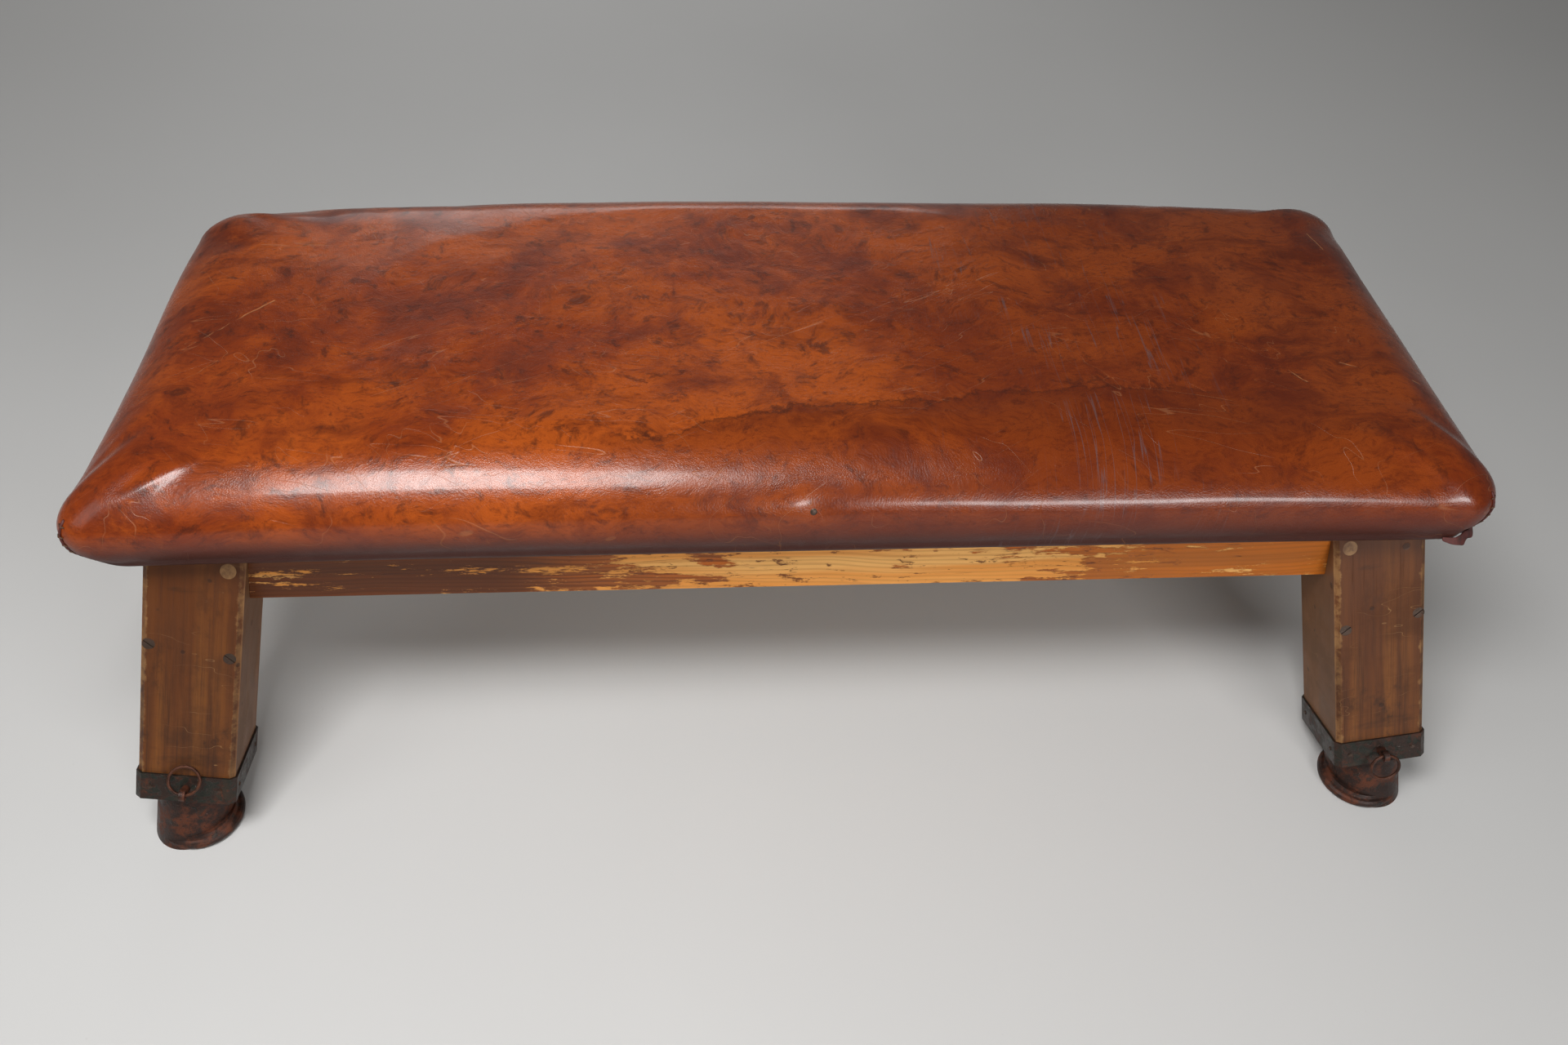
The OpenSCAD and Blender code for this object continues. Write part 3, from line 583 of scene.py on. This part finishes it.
def makeFloorPaint():
    paint = Finish("floorPaint")
    where = paint.place()
    haze = paint.noise(where, 0.9, 4, 0.5)
    speck = paint.noise(where, 55.0, 3, 0.6)
    base = studio["floor"]
    colour = paint.tint(paint.steps(haze, 0.35, 0.7) * 0.5, base, tuple(0.93 * part for part in base))
    colour = paint.tint(paint.steps(speck, 0.72, 0.80) * 0.25, colour, (0.4, 0.38, 0.35))
    return paint.close(colour, 0.55 + haze * 0.1, speck, 0.0004, 0.15)


finishes = {
    "leather": makeLeather(),
    "railPine": makeRailWood("flakedPine", True),
    "endPine": makeRailWood("endRailPine", False),
    "boardPine": makeBoardWood(),
    "pegs": makePegWood(),
    "band": makeIron("rustyBand", "band"),
    "foot": makeIron("rustyFoot", "foot"),
    "ring": makeIron("rustyRing", "ring"),
    "screw": makeIron("dullScrew", "screw"),
    "spring": makeSpringSteel(),
    "hessian": makeHessian(),
}
print("finishes made")

nodeFinishes = {
    "front_rail": "railPine", "back_rail": "railPine", "left_end_rail": "endPine", "right_end_rail": "endPine",
    "front_plank": "boardPine", "middle_plank": "boardPine", "back_plank": "boardPine",
    "left_batten": "boardPine", "right_batten": "boardPine", "corner_blocks": "boardPine",
    "tenon_pegs": "pegs",
    "leg_screws": "screw", "cuff_nails": "screw", "plank_screws": "screw", "tacks": "screw",
}
for nodeName, finish in nodeFinishes.items():
    dress(frame["nodes"][nodeName], finishes[finish])
for corner in corners:
    dress(frame["nodes"][corner + "_leg"], makeLegWood(corner))
    dress(frame["nodes"][corner + "_post"], makePostWood(corner))
    for part, finish in (("cuff", "band"), ("foot", "foot"), ("foot_screw", "screw"), ("locking_pin", "foot"),
                         ("pin_spring", "spring"), ("pull_ring", "ring")):
        dress(frame["nodes"][corner + "_" + part], finishes[finish])
print("CAD nodes dressed")

coverLow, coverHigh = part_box("leather_cover")
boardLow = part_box("front_plank")[0]
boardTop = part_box("front_plank")[1].z

seat = {
    "halfLength": coverHigh.x - 0.001,
    "halfWidth": coverHigh.y - 0.001,
    "edgeTop": coverHigh.z - 0.0175,
    "crown": 0.0175,
    "cornerRadius": 0.046,
    "alongCount": 180,
    "acrossCount": 68,
    "pullEnds": 0.004,
    "pullSides": 0.003,
    "lengthwiseRise": 0.009,
    "backBow": 0.007,
    # where each corner sits, against a true rectangle
    "cornerShifts": {(-1, -1): (-0.016, -0.004, 0.0), (1, -1): (-0.007, -0.002, 0.004),
                     (-1, 1): (0.012, -0.014, -0.012), (1, 1): (0.003, -0.006, -0.004)},
    "rollUnder": 0.038,
    "rollOver": 0.076,
    "hemInset": coverHigh.x - 0.001 + boardLow.x + 0.0105,
    "cap": 0.006,
    "frames": 20,
    "topDrop": 0.0045,
    "cloth": {"quality": 5, "mass": 0.3, "tension_stiffness": 22, "compression_stiffness": 22,
              "shear_stiffness": 9, "bending_stiffness": 6, "use_pressure": True,
              "uniform_pressure_force": 4.0, "vertex_group_mass": "held"},
    # how deep and how wide the stud pulls the leather in and down
    "studIn": (0.0035, 0.016),
    "studDown": (0.0025, 0.020),
}


def oneSide(half, off, radius, count):
    # points from one corner's middle to the next, along a side that lies at -off
    quarter = radius * math.pi / 4
    straight = 2 * (half - radius)
    total = 2 * quarter + straight
    points = []
    for step in range(count):
        run = total * step / count
        if run < quarter:
            turn = math.radians(225) + run / radius
            points.append((radius - half + radius * math.cos(turn), radius - off + radius * math.sin(turn)))
        elif run < quarter + straight:
            points.append((radius - half + run - quarter, -off))
        else:
            turn = math.radians(270) + (run - quarter - straight) / radius
            points.append((half - radius + radius * math.cos(turn), radius - off + radius * math.sin(turn)))
    return points


def ringOf(inset, plan):
    # one closed ring of the seat's outline, moved inward by inset
    half, off = plan["halfLength"] - inset, plan["halfWidth"] - inset
    radius = max(plan["cornerRadius"] - inset * 0.45, 0.014)
    front = oneSide(half, off, radius, plan["alongCount"])
    right = [(-y, x) for x, y in oneSide(off, half, radius, plan["acrossCount"])]
    back = [(-x, -y) for x, y in front]
    left = [(-x, -y) for x, y in right]
    return np.array(front + right + back + left)


def crownAt(x, y, plan):
    wide = 1 - np.minimum(np.abs(x) / plan["halfLength"], 1) ** 2.6
    deep = 1 - np.minimum(np.abs(y) / plan["halfWidth"], 1) ** 2.0
    return plan["crown"] * wide * deep


def seatShape(rows, plan):
    # rows of rings (inset, height, share of the crown), closed across the top by a grid
    alongCount, acrossCount = plan["alongCount"], plan["acrossCount"]
    count = 2 * (alongCount + acrossCount)
    points = []
    for inset, height, share in rows:
        ring = ringOf(inset, plan)
        points.append(np.column_stack([ring, height + share * crownAt(ring[:, 0], ring[:, 1], plan)]))
    last = points[-1]
    first = (len(rows) - 1) * count
    faces = bands(len(rows), count)
    index = np.full((alongCount + 1, acrossCount + 1), -1)
    index[:, 0] = first + np.arange(alongCount + 1)
    index[alongCount, :] = first + alongCount + np.arange(acrossCount + 1)
    index[:, acrossCount] = first + (2 * alongCount + acrossCount - np.arange(alongCount + 1))
    index[0, :] = first + (count - np.arange(acrossCount + 1)) % count
    u, v = np.meshgrid(np.linspace(0, 1, alongCount + 1), np.linspace(0, 1, acrossCount + 1), indexing="ij")
    u, v = u[..., None], v[..., None]
    at = lambda i, j: last[index[i, j] - first]
    low, high = last[index[:, 0] - first][:, None], last[index[:, -1] - first][:, None]
    near, far = last[index[0, :] - first][None], last[index[-1, :] - first][None]
    sheet = ((1 - v) * low + v * high + (1 - u) * near + u * far
             - (1 - u) * (1 - v) * at(0, 0) - u * (1 - v) * at(-1, 0)
             - (1 - u) * v * at(0, -1) - u * v * at(-1, -1))
    inner = sheet[1:-1, 1:-1].reshape(-1, 3)
    inner[:, 2] = rows[-1][1] + crownAt(inner[:, 0], inner[:, 1], plan)
    index[1:-1, 1:-1] = len(rows) * count + np.arange(len(inner)).reshape(alongCount - 1, acrossCount - 1)
    for i in range(alongCount):
        for j in range(acrossCount):
            faces.append((index[i, j], index[i + 1, j], index[i + 1, j + 1], index[i, j + 1]))
    points = np.vstack(points + [inner])
    # the ends pull in between their corners, and so, a little, do the long sides
    endWay = np.abs(points[:, 0]) / plan["halfLength"]
    sideWay = np.abs(points[:, 1]) / plan["halfWidth"]
    points[:, 0] -= np.sign(points[:, 0]) * plan["pullEnds"] * (1 - np.minimum(sideWay, 1) ** 2.2) * endWay ** 5
    points[:, 1] -= np.sign(points[:, 1]) * plan["pullSides"] * (1 - np.minimum(endWay, 1) ** 4) * sideWay ** 5
    rise = np.clip((points[:, 2] - coverLow.z) / 0.09, 0, 1) * (1 - np.minimum(endWay, 1) ** 2.4)
    points[:, 2] += plan["lengthwiseRise"] * rise
    points[:, 1] += plan["backBow"] * rise * np.clip(points[:, 1] / plan["halfWidth"], 0, 1) ** 3
    for (toX, toY), shift in plan["cornerShifts"].items():
        near = np.clip(toX * points[:, 0] / plan["halfLength"], 0, 1.1) ** 9
        near = near * np.clip(toY * points[:, 1] / plan["halfWidth"], 0, 1.1) ** 4
        near = near * np.clip((points[:, 2] - coverLow.z) / 0.02, 0, 1)
        points += near[:, None] * np.array(shift)
    return points, [tuple(int(k) for k in face) for face in faces], count


def rollRows(plan, bottom, start, steps):
    # the roll's rings from its underside to the start of the top
    middle = (bottom + plan["edgeTop"]) / 2
    tall = (plan["edgeTop"] - bottom) / 2
    rows = []
    for angle in np.linspace(start, 90, steps):
        turn = math.radians(angle)
        reach = plan["rollUnder"] if angle < 0 else plan["rollOver"]
        share = max(0, math.sin(turn)) ** 0.7
        rows.append((reach * (1 - math.cos(turn)), middle + tall * math.sin(turn), share))
    return rows


def unevenness(points):
    # a hand-stuffed seat is never quite true
    shift = np.zeros_like(points)
    for k, point in enumerate(points):
        place = Vector(point)
        swell = noise.noise(place * 3.1 + Vector((4, 7, 2))) * 0.0030 + noise.noise(place * 9.0) * 0.0012
        free = min(1.0, max(0.0, (point[2] - coverLow.z) / 0.03))
        away = Vector((point[0] / seat["halfLength"], point[1] / seat["halfWidth"], 0))
        rim = min(1.0, max(abs(away.x), abs(away.y)) ** 6)
        shift[k] = (away.x * swell * rim * free, away.y * swell * rim * free, swell * (1 - rim) * free)
    return points + shift


def puff(thing, plan, heldCount):
    # lets the leather swell under the padding's pressure, then keeps the result within a cap
    before = np.array([vertex.co[:] for vertex in thing.data.vertices])
    held = thing.vertex_groups.new(name="held")
    held.add(list(range(heldCount)), 1.0, "REPLACE")
    cloth = thing.modifiers.new("cloth", "CLOTH")
    for setting, value in plan["cloth"].items():
        setattr(cloth.settings, setting, value)
    cloth.settings.effector_weights.gravity = 0
    cloth.collision_settings.use_collision = False
    cloth.point_cache.frame_start, cloth.point_cache.frame_end = 1, plan["frames"]
    for number in range(1, plan["frames"] + 1):
        bpy.context.scene.frame_set(number)
    shaped = thing.evaluated_get(bpy.context.evaluated_depsgraph_get()).data
    after = np.array([vertex.co[:] for vertex in shaped.vertices])
    thing.modifiers.remove(cloth)
    bpy.context.scene.frame_set(1)
    move = after - before
    length = np.linalg.norm(move, axis=1, keepdims=True) + 1e-9
    move *= np.minimum(1.0, plan["cap"] / length)
    print("seat swelled by", round(float(length.max()) * 1000, 1), "mm before the cap")
    return before + move


def makeSeat():
    plan = seat
    hem, under = plan["hemInset"], boardLow.z
    rows = [(hem, under - 0.0003, 0), (hem, coverLow.z + 0.0003, 0), (hem - 0.005, coverLow.z, 0),
            (hem - 0.011, coverLow.z, 0), (hem - 0.017, coverLow.z + 0.0005, 0),
            (hem - 0.023, coverLow.z + 0.0022, 0)]
    rows += rollRows(plan, under - 0.0005, -62, 24)
    points, faces, count = seatShape(rows, plan)
    points = unevenness(points)
    points[:, 2] -= np.clip((points[:, 2] - 0.42) / 0.05, 0, 1) * plan["topDrop"]
    thing = makeMesh("seatLeather", points, faces)
    points = puff(thing, plan, 8 * count)
    points[:, 2] = np.minimum(points[:, 2], coverHigh.z + 0.002)
    # the stud draws the leather in
    away = np.linalg.norm(points - np.array(leatherLook["stud"]), axis=1)
    (inward, inwardReach), (down, downReach) = plan["studIn"], plan["studDown"]
    points[:, 1] += inward * np.exp(-(away / inwardReach) ** 2)
    points[:, 2] -= down * np.exp(-(away / downReach) ** 2)
    for vertex, point in zip(thing.data.vertices, points):
        vertex.co = point
    thing.data.update()
    smooth = thing.modifiers.new("finer", "SUBSURF")
    smooth.levels = smooth.render_levels = 1
    dress(thing, finishes["leather"])
    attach(thing, "bench")
    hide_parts("leather_cover")
    return points, count, len(rows)


seatPoints, ringCount, rowCount = makeSeat()
print("seat made")

padding = {
    # what it has otherwise than the leather over it
    "halfLength": seat["halfLength"] - 0.015,
    "halfWidth": seat["halfWidth"] - 0.015,
    "edgeTop": seat["edgeTop"] - 0.024,
    "rollUnder": 0.022,
    "rollOver": 0.070,
    "alongCount": 60,
    "acrossCount": 24,
    "gap": 0.0012,  # to the planks
    "overBoard": 0.06,
    "downSide": 0.014,
    "lift": 0.010,
}


def makePadding():
    plan = {**seat, **padding}
    wall, rest = plan["halfLength"] + boardLow.x - plan["gap"], boardTop + plan["gap"]
    rows = [(wall + plan["overBoard"], rest, 0), (wall, rest, 0), (wall, boardTop - plan["downSide"], 0)]
    rows += rollRows(plan, boardLow.z + plan["lift"], -60, 12)
    points, faces, count = seatShape(rows, plan)
    faces.append(tuple(reversed(range(count))))
    thing = makeMesh("seatPadding", points, faces)
    dress(thing, finishes["hessian"])
    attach(thing, "bench")
    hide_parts("padding")


makePadding()

seams = {"cord": 0.0013, "stitch": 0.0007, "pitch": 0.009, "rows": (5, 20)}


def tube(path, radius, sides=8):
    # a closed tube along a path of points
    points = []
    for k, centre in enumerate(path):
        ahead = (path[min(k + 1, len(path) - 1)] - path[max(k - 1, 0)]).normalized()
        side = ahead.cross(Vector((0.21, 0.34, 0.92))).normalized()
        over = ahead.cross(side)
        for step in range(sides):
            turn = 2 * math.pi * step / sides
            points.append(centre + radius * (math.cos(turn) * side + math.sin(turn) * over))
    faces = bands(len(path), sides)
    faces.append(tuple(reversed(range(sides))))
    faces.append(tuple(range((len(path) - 1) * sides, len(path) * sides)))
    return points, faces


def gather(name, parts, material):
    points, faces = [], []
    for morePoints, moreFaces in parts:
        start = len(points)
        points += morePoints
        faces += [tuple(start + k for k in face) for face in moreFaces]
    thing = makeMesh(name, points, faces)
    dress(thing, material)
    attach(thing, "bench")
    return thing


def makeThread():
    thread = Finish("waxedThread")
    where = thread.place()
    twist = thread.node("ShaderNodeTexWave", {"bands_direction": "DIAGONAL"}, {
        "Vector": where, "Scale": 500.0, "Distortion": 0.5}, output=1)
    colour = thread.tint(twist * 0.5, (0.10, 0.045, 0.02), (0.03, 0.014, 0.008))
    return thread.close(colour, 0.6, twist, 0.0004, 0.5)


def makeDarkEdge():
    edge = Finish("rawLeatherEdge")
    where = edge.place()
    torn = edge.noise(where, 130.0, 6, 0.7)
    colour = edge.tint(edge.steps(torn, 0.4, 0.7), (0.085, 0.014, 0.010), (0.028, 0.008, 0.006))
    return edge.close(colour, 0.55 + torn * 0.2, torn, 0.0012, 0.7)


threadFinish, darkEdge = makeThread(), makeDarkEdge()


def cornerColumns():
    along, across = seat["alongCount"], seat["acrossCount"]
    return (0, along, along + across, 2 * along + across)


def makeSeams():
    cords, stitches = [], []
    for column in cornerColumns():
        spot = lambda row, k: Vector(seatPoints[row * ringCount + (column + k) % ringCount])
        path = []
        for row in range(seams["rows"][0], seams["rows"][1]):
            path.append(spot(row, 0))
        outward = [Vector((point.x, point.y * 2.4, 0)).normalized() for point in path]
        cords.append(tube([p + o * 0.0004 for p, o in zip(path, outward)], seams["cord"]))
        gone = 0.0
        for row in range(1, len(path)):
            gone += (path[row] - path[row - 1]).length
            if gone > seams["pitch"]:
                gone = 0.0
                real = seams["rows"][0] + row
                left, right = spot(real, -1), spot(real, 1)
                bow = path[row] + outward[row] * 0.0018
                left = path[row] + (left - path[row]).normalized() * 0.0045 + outward[row] * 0.0004
                right = path[row] + (right - path[row]).normalized() * 0.0045 + outward[row] * 0.0004
                stitches.append(tube([left, bow, right], seams["stitch"], 6))
    gather("cornerSeams", cords, darkEdge)
    gather("cornerStitches", stitches, threadFinish)


makeSeams()

flap = {"reach": 0.012, "thickness": 0.0022, "count": 22}


def makeFlap():
    # the leather has split at the front right corner and its edge curls down
    along = seat["alongCount"]
    points, faces = [], []
    count = flap["count"]
    for k in range(count + 1):
        share = k / count
        column = along - 5 + round(share * 9)
        lower = Vector(seatPoints[8 * ringCount + column])
        upper = Vector(seatPoints[10 * ringCount + column])
        exact = along - 5 + share * 9 - column
        after = Vector(seatPoints[8 * ringCount + column + (1 if exact > 0 else -1)])
        lower = lower.lerp(after, abs(exact))
        outward = Vector((lower.x, lower.y * 2.4, 0)).normalized()
        ragged = 0.6 + 0.4 * math.sin(math.pi * share) + 0.35 * noise.noise(Vector((share * 7, 2, 5)))
        drop = flap["reach"] * ragged * math.sin(math.pi * min(1, share * 1.1 + 0.05)) ** 0.5
        top = lower + outward * 0.0012 + (upper - lower) * 0.3
        mid = lower + outward * (0.0030 + 0.2 * drop) + Vector((0, 0, -0.35 * drop))
        tip = lower + outward * (0.0035 + 0.45 * drop) + Vector((0, 0, -0.75 * drop))
        points += [top, mid, tip]
    for k in range(count):
        for row in range(2):
            faces.append((3 * k + row, 3 * k + row + 1, 3 * k + row + 4, 3 * k + row + 3))
    thing = makeMesh("tornFlap", points, faces)
    thick = thing.modifiers.new("thick", "SOLIDIFY")
    thick.thickness, thick.offset = flap["thickness"], 0
    rounder = thing.modifiers.new("rounded", "SUBSURF")
    rounder.levels = rounder.render_levels = 2
    dress(thing, darkEdge)
    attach(thing, "bench")


makeFlap()

studSize = {"radius": 0.0042, "height": 0.00189, "sunk": 0.0008, "rings": 5, "sides": 20}


def makeStud():
    centre = Vector(leatherLook["stud"])
    nearest = min(seatPoints[rowCount // 3 * ringCount:], key=lambda point: (Vector(point) - centre).length)
    centre = Vector(nearest)
    facing = Vector((0, -0.86, 0.5)).normalized()
    lengthwise = Vector((1, 0, 0))
    side = facing.cross(lengthwise).normalized()
    rings, sides = studSize["rings"], studSize["sides"]
    points = []
    for ring in range(rings):
        lean = math.pi / 2 * (1 - ring / rings)
        for step in range(sides):
            turn = 2 * math.pi * step / sides
            spread = studSize["radius"] * math.sin(lean)
            rise = studSize["height"] * math.cos(lean) - studSize["sunk"]
            across = math.cos(turn) * lengthwise + math.sin(turn) * side
            points.append(centre + spread * across + facing * rise)
    points.append(centre + facing * (studSize["height"] - studSize["sunk"]))
    faces = bands(rings, sides)
    top, last = len(points) - 1, (rings - 1) * sides
    faces += [(last + step, last + (step + 1) % sides, top) for step in range(sides)]
    faces.append(tuple(reversed(range(sides))))
    thing = makeMesh("seatStud", points, faces)
    dress(thing, finishes["screw"])
    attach(thing, "bench")


makeStud()
print("seams, flap and stud made")

def makeFloor():
    half, count = studio["floorSize"], 12
    wide = count + 1
    points = [(half * (2 * i / count - 1), half * (2 * j / count - 1) + 2, 0)
              for j in range(wide) for i in range(wide)]
    faces = [(j * wide + i, j * wide + i + 1, (j + 1) * wide + i + 1, (j + 1) * wide + i)
             for j in range(count) for i in range(count)]
    floor = makeMesh("floor", points, faces)
    dress(floor, makeFloorPaint())


makeFloor()
print("floor made")
